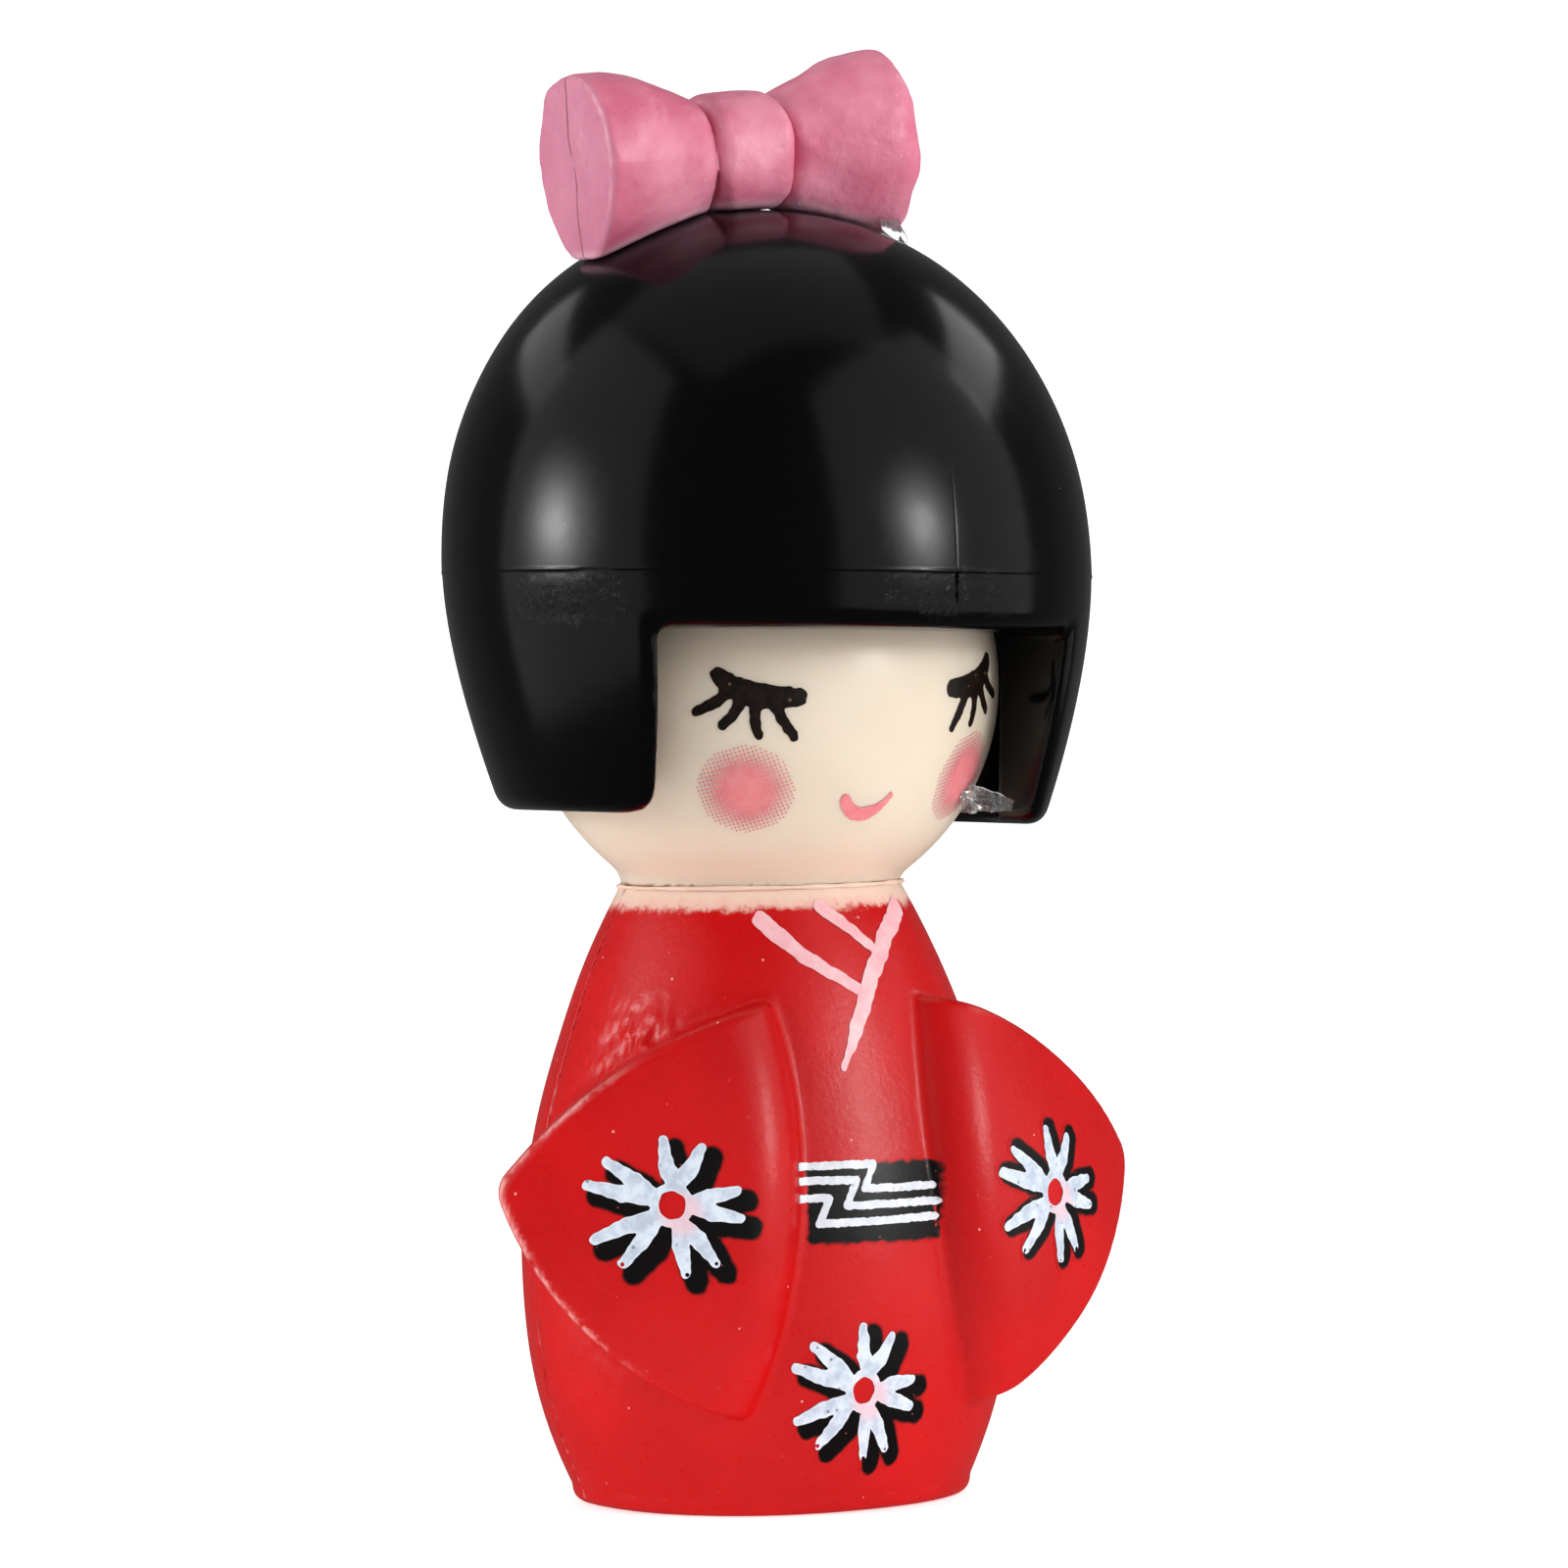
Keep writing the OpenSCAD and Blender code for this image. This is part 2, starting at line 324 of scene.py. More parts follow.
def hair(x, y, z):
    scuff = near(x, y, z, (-9.9, -6.4, HAIR_Z - 0.7), 2.2) * smooth_step(0, 0.3, HAIR_Z - z)
    outer = hair_surface(x, y, z) + scuff * SCUFF_DEPTH * scuff_folds(x, y * 0.6, z * 1.6)
    # A short crack below the parting line, and above it the faint line where the plastic knitted together
    rise = z - HAIR_Z
    crack = CRACK_DEPTH * smooth_step(0, 0.1, -rise) * smooth_step(0, 0.4, rise + CRACK_LENGTH)
    crack = crack + KNIT_DEPTH * smooth_step(0, 0.3, rise) * smooth_step(KNIT_LENGTH, 1.0, rise)
    outer = outer + crack * np.exp(-((x - CRACK_X) / CRACK_HALF) ** 2) * (y < 0)
    solid = smooth_max(outer, HEM_Z - HEM_TILT * x - z, HEM_ROUND)
    hy = y - HEAD_CENTRE[1]
    ball = np.sqrt(x ** 2 + hy ** 2 + (z - HEAD_CENTRE[2]) ** 2) - CAVITY_R
    tube = np.maximum(np.hypot(x, hy) - CAVITY_R, z - HEAD_CENTRE[2])
    cavity = np.minimum(ball, tube)
    # The opening for the face: its sides splay a little, and its edges are rounded
    side = np.abs(x) - FACE_HALF_W + OPENING_SPLAY * (y + 9) + OPENING_TAPER * (FRINGE_Z - z)
    notch = smooth_max(smooth_max(side, z - FRINGE_Z, 0.5), y + 3, 0.3)
    solid = smooth_max(solid, -notch, OPENING_ROUND)
    return smooth_max(solid, -cavity, 0.12)


def turned(angle, i, j):
    """A rotation matrix in the plane of axes i and j."""
    matrix = np.eye(3)
    matrix[i, i] = matrix[j, j] = math.cos(angle)
    matrix[j, i] = math.sin(angle)
    matrix[i, j] = -matrix[j, i]
    return matrix


HAIR_POSE = turned(HAIR_LEAN, 2, 0) @ turned(HAIR_TURN, 0, 1)


def onto_head(points):
    """Leans and turns points of the hair's upright frame about the head's centre, as the hair is glued."""
    return (points - HEAD_CENTRE) @ HAIR_POSE.T + HEAD_CENTRE


def off_head(x, y, z):
    """The reverse of onto_head, for fields."""
    away = (x - HEAD_CENTRE[0], y - HEAD_CENTRE[1], z - HEAD_CENTRE[2])
    return tuple(sum(HAIR_POSE[j, i] * away[j] for j in range(3)) + HEAD_CENTRE[i] for i in range(3))


# ---- Bow, in its own level frame centred on the knot

bow_lumps = Ripple(41, 2.4)
bow_grain = Ripple(42, 0.6)
BOW_END_LEFT, BOW_END_RIGHT = 6.15, 6.05
KNOT_HALF_LEFT, KNOT_HALF_RIGHT = 1.38, 1.12
KNOT_D, KNOT_H = 2.35, 2.25
BOW_CORE_R = 1.6
OVAL_POWER, KNOT_POWER = 2.15, 2.2


def to_bow(x, y, z):
    px, py, pz = x - BOW_CENTRE[0], y - BOW_CENTRE[1], z - BOW_CENTRE[2]
    c, s = math.cos(BOW_TILT), math.sin(BOW_TILT)
    return c * px + s * pz, py, -s * px + c * pz


def bow(x, y, z):
    bx, by, bz = to_bow(x, y, z)
    left = bx < 0
    t = np.abs(bx)
    # Each loop flares from the knot to its open end, and is narrower below than above
    flare = smooth_step(0.3, 5.2, t)
    half_h = np.where(bz < 0, 2.1 + 1.14 * flare, 1.72 + 1.52 * flare)
    half_d = (1.85 + 1.12 * flare) * (1 - 0.05 * np.clip(-bz, 0, 3.2))
    oval = (np.abs(by / half_d) ** OVAL_POWER + np.abs(bz / half_h) ** OVAL_POWER) ** (1 / OVAL_POWER)
    loop = (oval - 1) * np.minimum(half_d, half_h) * 0.95
    end_round = np.where(left, 0.32, 1.1)
    loop = smooth_max(loop, t - np.where(left, BOW_END_LEFT, BOW_END_RIGHT), end_round)
    # Rounded shoulders where the loops are tucked under the knot
    bulge = 0.24 * (1 - (bz / 2.2) ** 2)
    half_knot = np.where(left, KNOT_HALF_LEFT, KNOT_HALF_RIGHT) + bulge
    loop = smooth_max(loop, half_knot + 0.06 - t, 0.45)
    band = np.abs(by / KNOT_D) ** KNOT_POWER + np.abs((bz + 0.05) / KNOT_H) ** KNOT_POWER
    knot = smooth_max((band ** (1 / KNOT_POWER) - 1) * 2.2, t - half_knot + 0.06, 0.5)
    core = np.maximum(np.hypot(by, bz) - BOW_CORE_R, t - 3)
    whole = smooth_min(smooth_min(loop, knot, 0.06), core, 0.1)
    whole = whole + 0.04 * bow_lumps(bx, by, bz) + 0.006 * bow_grain(bx, by, bz)
    # The underside lies on the hair
    hx, hy, hz = off_head(x, y, z)
    under = 0.03 - hair_surface(hx, hy, hz)
    return smooth_max(whole, under, 0.22)


# ======== Meshing

def span(low, high, step):
    count = max(2, int(math.ceil((high - low) / step)) + 1)
    return np.linspace(low, high, count)


def refined(line, centre, reach, step):
    """The grid line with finer steps within reach of centre."""
    fine = np.arange(centre - reach, centre + reach + step / 2, step)
    coarse = line[(line < centre - reach - step) | (line > centre + reach + step)]
    return np.sort(np.concatenate([coarse, fine]))


def gradient(field, p, eps=0.01):
    g = np.empty_like(p)
    for axis in range(3):
        step = np.zeros(3)
        step[axis] = eps
        a, b = p + step, p - step
        g[:, axis] = field(a[:, 0], a[:, 1], a[:, 2]) - field(b[:, 0], b[:, 1], b[:, 2])
    return g / (2 * eps)


def settle(field, p, reach, rounds=3):
    """Moves points onto the field's surface."""
    for _ in range(rounds):
        g = gradient(field, p)
        f = field(p[:, 0], p[:, 1], p[:, 2])
        step = f / np.maximum((g * g).sum(1), 0.05)
        p = p - np.clip(step, -reach, reach)[:, None] * g
    return p


CORNERS = [(i, j, k) for i in (0, 1) for j in (0, 1) for k in (0, 1)]
CELL_EDGES = [(a, b) for a in range(8) for b in range(a + 1, 8)
              if sum(abs(p - q) for p, q in zip(CORNERS[a], CORNERS[b])) == 1]


def skin_of(field, xs, ys, zs):
    """Points and four-sided faces of a field's surface: one point in every grid cell that it crosses."""
    grid = np.meshgrid(xs, ys, zs, indexing="ij")
    values = field(*grid)
    inside = values < 0
    n = [s - 1 for s in values.shape]
    count = np.zeros(n, np.int8)
    for i, j, k in CORNERS:
        count += inside[i:n[0] + i, j:n[1] + j, k:n[2] + k]
    cells = np.argwhere((count > 0) & (count < 8))
    number = np.full(n, -1, np.int64)
    number[tuple(cells.T)] = np.arange(len(cells))
    lines = (xs, ys, zs)
    total = np.zeros((len(cells), 3))
    hits = np.zeros(len(cells))
    corner_at = [cells + np.array(c) for c in CORNERS]
    corner_value = [values[tuple(c.T)] for c in corner_at]
    corner_point = [np.stack([lines[a][c[:, a]] for a in range(3)], 1) for c in corner_at]
    for a, b in CELL_EDGES:
        fa, fb = corner_value[a], corner_value[b]
        crossed = (fa < 0) != (fb < 0)
        t = np.where(crossed, fa / np.where(crossed, fa - fb, 1), 0)[:, None]
        total += np.where(crossed[:, None], corner_point[a] + t * (corner_point[b] - corner_point[a]), 0)
        hits += crossed
    points = total / hits[:, None]
    faces = []
    for axis in range(3):
        u, v = [a for a in range(3) if a != axis]
        a = np.take(inside, np.arange(inside.shape[axis] - 1), axis)
        b = np.take(inside, np.arange(1, inside.shape[axis]), axis)
        edge = np.argwhere(a != b)
        keep = (edge[:, u] > 0) & (edge[:, v] > 0) & (edge[:, u] < n[u]) & (edge[:, v] < n[v])
        edge = edge[keep]
        leaving = a[tuple(edge.T)]
        ring = []
        for du, dv in ((-1, -1), (0, -1), (0, 0), (-1, 0)):
            cell = edge.copy()
            cell[:, u] += du
            cell[:, v] += dv
            ring.append(number[tuple(cell.T)])
        quad = np.stack(ring, 1)
        flip = leaving if axis == 1 else ~leaving
        quad[flip] = quad[flip][:, ::-1]
        faces.append(quad)
    return points, np.concatenate(faces)


def relax(points, faces, amount=0.5):
    """Moves each point towards the middle of its neighbours, for even faces."""
    total = np.zeros_like(points)
    hits = np.zeros(len(points))
    for a in range(4):
        i, j = faces[:, a], faces[:, (a + 1) % 4]
        np.add.at(total, i, points[j])
        np.add.at(total, j, points[i])
        np.add.at(hits, i, 1)
        np.add.at(hits, j, 1)
    return points + amount * (total / hits[:, None] - points)


def new_object(name, points, faces, material, normals=None):
    mesh = bpy.data.meshes.new(name)
    mesh.from_pydata((points * MM).tolist(), [], [list(map(int, f)) for f in faces])
    mesh.validate()
    mesh.shade_smooth()
    if normals is not None and len(mesh.vertices) == len(points):
        mesh.normals_split_custom_set_from_vertices(normals.tolist())
    mesh.materials.append(material)
    obj = bpy.data.objects.new(name, mesh)
    bpy.context.scene.collection.objects.link(obj)
    return obj


def mark(obj, name, values):
    """Stores one number per point for the piece's material."""
    obj.data.attributes.new(name, "FLOAT", "POINT").data.foreach_set("value", values)


def points_of(obj):
    spots = np.array([v.co for v in obj.data.vertices]) / MM
    return spots[:, 0], spots[:, 1], spots[:, 2]


def moulded(name, field, low, high, step, material, fine=(), place=None):
    """A closed, evenly meshed piece from a field. fine lists finer grid lines: axis, centre, reach, step."""
    lines = [span(low[a] - 2.5 * step, high[a] + 2.5 * step, step) for a in range(3)]
    for axis, centre, reach, fine_step in fine:
        lines[axis] = refined(lines[axis], centre, reach, fine_step)
    points, faces = skin_of(field, *lines)
    points = settle(field, points, step)
    if not fine:
        points = settle(field, relax(points, faces), step, 2)
    normals = gradient(field, points)
    normals /= np.maximum(np.linalg.norm(normals, axis=1), 1e-9)[:, None]
    if place:
        tips = place(points + normals)
        points = place(points)
        normals = tips - points
    return new_object(name, points, faces, material, normals)

# ======== Materials

class Look:
    """A material with one Principled shader, and short calls for the nodes around it."""

    def __init__(self, name, roughness, **sockets):
        self.material = bpy.data.materials.new(name)
        self.material.use_nodes = True
        self.tree = self.material.node_tree
        self.shader = self.tree.nodes["Principled BSDF"]
        self.shader.inputs["Roughness"].default_value = roughness
        for socket, value in sockets.items():
            self.shader.inputs[socket.replace("_", " ")].default_value = value
        self.coords = self.add("ShaderNodeTexCoord").outputs["Object"]
        self.xyz = self.add("ShaderNodeSeparateXYZ", Vector=self.coords).outputs

    def add(self, kind, **inputs):
        node = self.tree.nodes.new(kind)
        for name, value in inputs.items():
            self.put(node, name.replace("_", " "), value)
        return node

    def put(self, node, name, value):
        socket = node.inputs[int(name[1:])] if name[0] == "i" and name[1:].isdigit() else node.inputs[name]
        if isinstance(value, bpy.types.NodeSocket):
            self.tree.links.new(value, socket)
        else:
            socket.default_value = value

    def math(self, operation, a, b=0.0, c=0.0):
        node = self.add("ShaderNodeMath", i0=a, i1=b, i2=c)
        node.operation = operation
        return node.outputs[0]

    def place(self, operation, other):
        """The outputs of a vector sum with the point's own coordinates."""
        node = self.add("ShaderNodeVectorMath", i0=self.coords, i1=other)
        node.operation = operation
        return node.outputs

    def times(self, a, b):
        return self.math("MULTIPLY", a, b)

    def scaled(self, a, b, c):
        """a times b, plus c."""
        return self.math("MULTIPLY_ADD", a, b, c)

    def noise(self, size_mm, detail=3.0, roughness=0.55, shift=0.0):
        """Noise from 0 to 1 whose features are about size_mm across."""
        moved = self.place("ADD", (shift, shift * 0.7, -shift))[0]
        return self.add("ShaderNodeTexNoise", Vector=moved, Scale=1 / (size_mm * MM),
                        Detail=detail, Roughness=roughness).outputs[0]

    def specks(self, spacing_mm, radius, seed=0.0):
        """One inside small round specks, one per cell and only in some cells."""
        moved = self.place("ADD", (seed, -seed, seed * 0.5))[0]
        cell = self.add("ShaderNodeTexVoronoi", Vector=moved, Scale=1 / (spacing_mm * MM))
        dot = self.math("LESS_THAN", cell.outputs["Distance"], radius)
        chosen = self.add("ShaderNodeSeparateColor", Color=cell.outputs["Color"]).outputs[0]
        return self.times(dot, self.math("LESS_THAN", chosen, 0.35))

    def ramp(self, value, low, high):
        """Zero below low and one above high."""
        node = self.add("ShaderNodeMapRange", Value=value, i1=low, i2=high)
        node.interpolation_type = "SMOOTHSTEP"
        return node.outputs[0]

    def band(self, value, centre, half_width):
        """One at centre, fading to zero half_width away."""
        away = self.math("ABSOLUTE", self.math("SUBTRACT", value, centre))
        return self.ramp(away, half_width, 0.0)

    def around(self, centre, reach):
        """One at centre, falling to zero at reach, both in millimetres."""
        away = self.place("DISTANCE", tuple(c * MM for c in centre))["Value"]
        return self.ramp(away, reach * MM, 0.3 * reach * MM)

    def mix(self, factor, a, b):
        node = self.tree.nodes.new("ShaderNodeMix")
        node.data_type = "RGBA"
        for name, value in (("i0", factor), ("i6", a), ("i7", b)):
            self.put(node, name, (*value, 1.0) if isinstance(value, tuple) else value)
        return node.outputs[2]

    def stain(self, colour, mask, amount, tint):
        """The colour with amount of tint over it where mask is one."""
        return self.mix(self.times(mask, amount), colour, tint)

    def colour(self, value):
        self.put(self.shader, "Base Color", value)

    def rough(self, pattern, spread, base):
        self.put(self.shader, "Roughness", self.scaled(pattern, spread, base))

    def bump(self, height, depth_mm):
        """Fine relief, depth_mm from lowest to highest."""
        node = self.add("ShaderNodeBump", Height=height, Distance=depth_mm * MM)
        self.put(self.shader, "Normal", node.outputs[0])

    def attribute(self, name):
        node = self.tree.nodes.new("ShaderNodeAttribute")
        node.attribute_name = name
        return node.outputs["Fac"]


RED = (0.57, 0.003, 0.004)
RED_DEEP = (0.50, 0.002, 0.003)
CREAM = (0.79, 0.665, 0.52)
PINK_CREAM = (0.82, 0.50, 0.42)
BLACK_INK = (0.004, 0.003, 0.003)


def red_paint():
    """Sprayed red over cream plastic: the paint stops short of the neck in a ragged edge."""
    look = Look("red_paint", 0.36, Specular_IOR_Level=0.28)
    broad = look.noise(5.0, 2.0)
    fine = look.noise(0.35, 3.0, shift=0.02)
    colour = look.mix(look.ramp(broad, 0.35, 0.7), RED_DEEP, RED)
    # Pale specks of dust and bare pinholes in the paint
    colour = look.stain(colour, look.specks(0.9, 0.055), 0.75, (0.85, 0.35, 0.33))
    colour = look.stain(colour, look.specks(0.55, 0.05, 0.03), 0.35, (0.78, 0.2, 0.18))
    # Bare flash along the line where the halves meet, worn through in places
    y, z = look.xyz[1], look.xyz[2]
    on_shell = look.ramp(look.math("ABSOLUTE", look.xyz[0]), (BODY_R + 0.2) * MM, (BODY_R + 0.1) * MM)
    seam = look.times(look.band(y, SPLIT_Y * MM, 0.10 * MM), on_shell)
    worn = look.times(seam, look.ramp(look.noise(1.6, 4.0, shift=0.011), 0.42, 0.62))
    colour = look.stain(colour, worn, 0.75, (0.80, 0.30, 0.28))
    flash = look.times(look.attribute("flash"), look.ramp(look.noise(0.7, 4.0, shift=0.031), 0.36, 0.56))
    colour = look.stain(colour, flash, 0.8, (0.84, 0.40, 0.38))
    # The painted edge below the collar: bare cream above, a thin pink wash, then full red
    edge = look.scaled(look.noise(0.5, 5.0, 0.75), 0.9 * MM, z)
    wash = look.ramp(edge, 21.35 * MM, 21.05 * MM)
    full = look.ramp(edge, 21.10 * MM, 20.80 * MM)
    top = look.mix(wash, (0.82, 0.60, 0.49), PINK_CREAM)
    colour = look.mix(full, top, colour)
    look.colour(colour)
    look.rough(fine, 0.16, 0.22)
    # Fine brush-like grain over a gently uneven surface
    grain = look.times(look.noise(0.22, 4.0, 0.7, shift=0.015), 0.45)
    look.bump(look.scaled(look.noise(1.3, 3.0, shift=0.05), 0.7, grain), 0.035)
    return look.material


# The printed face sits a little towards the doll's left
FACE_TURN = math.radians(3.2)
CHEEK_TURN = math.radians(35)
CHEEK_Z = 24.67


def cheek_place(side):
    """A blush's bearing and height: side is -1 for the doll's right and 1 for its left."""
    return FACE_TURN + side * CHEEK_TURN, CHEEK_Z + side * 0.12


def cheek(side):
    """The point where a blush is centred."""
    return HEAD_CENTRE + HEAD_R * out_of_head(*cheek_place(side))


def skin_plastic():
    """Cream moulded plastic, slightly translucent."""
    look = Look("cream_plastic", 0.34, Subsurface_Weight=0.4, Subsurface_Scale=0.0018,
                Subsurface_Radius=(1.0, 0.55, 0.35), Coat_Weight=0.15, Coat_Roughness=0.2)
    colour = look.mix(look.ramp(look.noise(4.0, 2.0), 0.3, 0.7), (0.815, 0.70, 0.56), CREAM)
    colour = look.stain(colour, look.specks(1.1, 0.03, 0.07), 0.25, (0.6, 0.45, 0.36))
    # Dot gain: the printed blush tints the plastic between its dots
    for side in (-1, 1):
        colour = look.stain(colour, look.around(cheek(side), 2.1), 0.28, (0.86, 0.42, 0.38))
    # Darker and pinker above the neck: partly red overspray, partly painted shade under the chin
    low = look.ramp(look.xyz[2], 23.2 * MM, 21.3 * MM)
    colour = look.stain(colour, low, 0.30, (0.80, 0.50, 0.38))
    look.colour(colour)
    look.rough(look.noise(0.7, 2.0, shift=0.03), 0.1, 0.30)
    look.bump(look.noise(0.9, 2.0, shift=0.09), 0.008)
    return look.material


def hair_plastic():
    """Glossy black plastic, scuffed below the parting line."""
    look = Look("black_gloss_plastic", 0.12, Specular_IOR_Level=0.17)
    z = look.xyz[2]
    scuff_zone = look.band(z, (HAIR_Z - 0.8) * MM, 1.1 * MM)
    patches = look.math("MAXIMUM", look.around((-10.5, -5.9, HAIR_Z - 0.6), 3.2),
                        look.times(look.around((1.6, -12.6, HAIR_Z - 0.6), 3.6), 0.8))
    marks = look.ramp(look.noise(0.5, 5.0, 0.8, shift=0.04), 0.50, 0.66)
    scuff = look.times(look.times(scuff_zone, marks), patches)
    dust = look.specks(1.0, 0.028, 0.02)
    tone = look.mix(look.times(scuff, 0.5), (0.0012, 0.0012, 0.0015), (0.05, 0.05, 0.052))
    tone = look.stain(tone, dust, 0.5, (0.30, 0.30, 0.32))
    look.colour(tone)
    look.rough(scuff, 0.30, look.scaled(look.noise(0.8, 4.0, shift=0.013), 0.10, 0.12))
    relief = look.scaled(scuff, 2.5, look.times(look.noise(1.8, 3.0), 0.45))
    look.bump(relief, 0.014)
    return look.material


def bow_plastic():
    """Pink moulded plastic with a leathery skin."""
    look = Look("pink_plastic", 0.42, Subsurface_Weight=0.12, Subsurface_Scale=0.0008, Coat_Weight=0.1,
                Coat_Roughness=0.3)
    broad = look.noise(2.6, 3.0)
    grain = look.noise(0.28, 4.0, 0.7, shift=0.02)
    colour = look.mix(look.ramp(broad, 0.3, 0.7), (0.67, 0.14, 0.245), (0.81, 0.275, 0.39))
    # Pale specks painted in as glints: painted highlights on the leathery skin
    glint_specks = look.specks(0.42, 0.10, 0.05)
    colour = look.stain(colour, glint_specks, 0.35, (0.92, 0.56, 0.64))
    end = look.attribute("end")
    colour = look.stain(colour, end, 0.7, (0.50, 0.19, 0.28))
    lip = look.attribute("lip")
    colour = look.stain(colour, lip, 0.7, (0.90, 0.50, 0.62))
    # The mould's parting line down the middle of each end
    line = look.band(look.xyz[1], (BOW_CENTRE[1] + 0.1) * MM, 0.085 * MM)
    ragged = look.ramp(look.noise(0.9, 3.0, shift=0.06), 0.28, 0.42)
    line = look.times(look.times(line, end), ragged)
    colour = look.stain(colour, line, 0.85, (0.16, 0.02, 0.04))
    look.colour(colour)
    look.rough(grain, 0.22, 0.26)
    look.bump(look.scaled(look.noise(0.8, 3.0, shift=0.04), 0.8, look.times(grain, 0.5)),
              0.07)
    return look.material


def dried_glue(name, streaks_mm):
    """Dried clear glue, cloudy where it is stretched."""
    look = Look(name, 0.15, Transmission_Weight=0.92, IOR=1.46)
    streaks = look.ramp(look.noise(streaks_mm, 4.0, 0.7), 0.52, 0.66)
    look.colour(look.mix(streaks, (0.93, 0.94, 0.94), (0.99, 0.99, 0.98)))
    look.rough(streaks, 0.35, 0.10)
    look.bump(look.noise(streaks_mm * 1.2, 2.0, shift=0.02), 0.04)
    return look.material


def finish_ink(look, colour, roughness, spread=0.2, patch_mm=0.2, relief_mm=0.16):
    look.colour(colour)
    look.rough(look.noise(patch_mm, 3.0, shift=0.01), spread, roughness)
    look.bump(look.noise(relief_mm, 3.0, shift=0.02), 0.010)
    return look.material


def ink(name, colour, second, size_mm, roughness=0.42, speck=None, speck_amount=0.6):
    """Printed ink that is a little uneven, with a few specks where the ground shows."""
    look = Look(name, roughness, Specular_IOR_Level=0.3)
    shade = look.mix(look.ramp(look.noise(size_mm, 4.0, 0.7), 0.35, 0.68), colour, second)
    if speck is not None:
        spots = look.times(look.specks(0.36, 0.16, 0.04), speck_amount)
        shade = look.mix(spots, shade, speck)
    return finish_ink(look, shade, roughness - 0.1)


def flower_ink():
    """Pale bluish ink with thin, grey patches and a pink blot beside the flower's centre."""
    look = Look("flower_ink", 0.45)
    thin = look.ramp(look.noise(0.55, 4.0, 0.65), 0.36, 0.64)
    shade = look.mix(thin, (0.46, 0.53, 0.64), (0.68, 0.75, 0.85))
    edge = look.ramp(look.attribute("inside"), 0.09, 0.02)
    shade = look.stain(shade, edge, 0.5, (0.74, 0.79, 0.86))
    shade = look.stain(shade, look.attribute("blot"), 0.8, (0.78, 0.52, 0.58))
    spots = look.times(look.specks(0.42, 0.14, 0.04), 0.7)
    return finish_ink(look, look.mix(spots, shade, (0.10, 0.10, 0.13)), 0.34)


def shadow_ink():
    """Black ink whose edge fades into the red, by each point's distance inside the outline."""
    look = Look("shadow_ink", 0.36, Specular_IOR_Level=0.22)
    depth = look.scaled(look.noise(0.25, 3.0), 0.06, look.attribute("inside"))
    dark = look.ramp(depth, 0.05, 0.21)
    black = look.stain(BLACK_INK, look.specks(0.5, 0.07, 0.02), 0.45, (0.5, 0.10, 0.10))
    return finish_ink(look, look.mix(dark, RED, black), 0.27, 0.15, 0.3, 0.3)


# ======== Prints

def stroke(a, b, points, widths):
    """Distance outside a pen stroke through points, whose half-width runs through widths."""
    best = np.full(np.shape(a), 9.0)
    for p, q, wp, wq in zip(points, points[1:], widths, widths[1:]):
        dx, dy = q[0] - p[0], q[1] - p[1]
        t = np.clip(((a - p[0]) * dx + (b - p[1]) * dy) / (dx * dx + dy * dy), 0, 1)
        away = np.hypot(a - p[0] - t * dx, b - p[1] - t * dy)
        best = np.minimum(best, away - (wp + t * (wq - wp)))
    return best


def ragged(shape, seed, depth, size):
    """The shape with an uneven edge, depth deep."""
    rough = Ripple(seed, size)
    return lambda a, b: shape(a, b) + depth * rough(a, b, 0 * a)


def outline_mesh(shape, low, high, step):
    """Points and faces that fill a 2-D shape (negative inside) on a square grid, cut exactly at its edge."""
    a, b = np.arange(low[0], high[0] + step, step), np.arange(low[1], high[1] + step, step)
    values = shape(*np.meshgrid(a, b, indexing="ij"))
    tiny = 0.08 * step
    values = np.where(np.abs(values) < tiny, np.where(values < 0, -tiny, tiny), values)
    inside = values < 0
    cells = inside[:-1, :-1] | inside[1:, :-1] | inside[1:, 1:] | inside[:-1, 1:]
    number, points, faces = {}, [], []

    def point(key, x, y):
        if key not in number:
            number[key] = len(points)
            points.append((x, y))
        return number[key]

    for i, j in np.argwhere(cells):
        ring = [(i, j), (i + 1, j), (i + 1, j + 1), (i, j + 1)]
        face = []
        for p, q in zip(ring, ring[1:] + ring[:1]):
            if inside[p]:
                face.append(point(p, a[p[0]], b[p[1]]))
            if inside[p] != inside[q]:
                t = values[p] / (values[p] - values[q])
                x = a[p[0]] + t * (a[q[0]] - a[p[0]])
                y = b[p[1]] + t * (b[q[1]] - b[p[1]])
                face.append(point((min(p, q), max(p, q)), x, y))
        faces.append(face)
    return np.array(points), faces


def drop_on(field, start, way):
    """Where rays from start meet the field's surface."""
    t = np.zeros(len(start))
    for _ in range(60):
        p = start + t[:, None] * way
        t = t + 0.7 * field(p[:, 0], p[:, 1], p[:, 2])
    return start + t[:, None] * way


FILM_SINK = 0.03
# The printed surfaces: field, the body that carries them and its slot
ON_HEAD = (head_surface, "head", "skin")
ON_KIMONO = (body_surface, "body", "kimono_red")


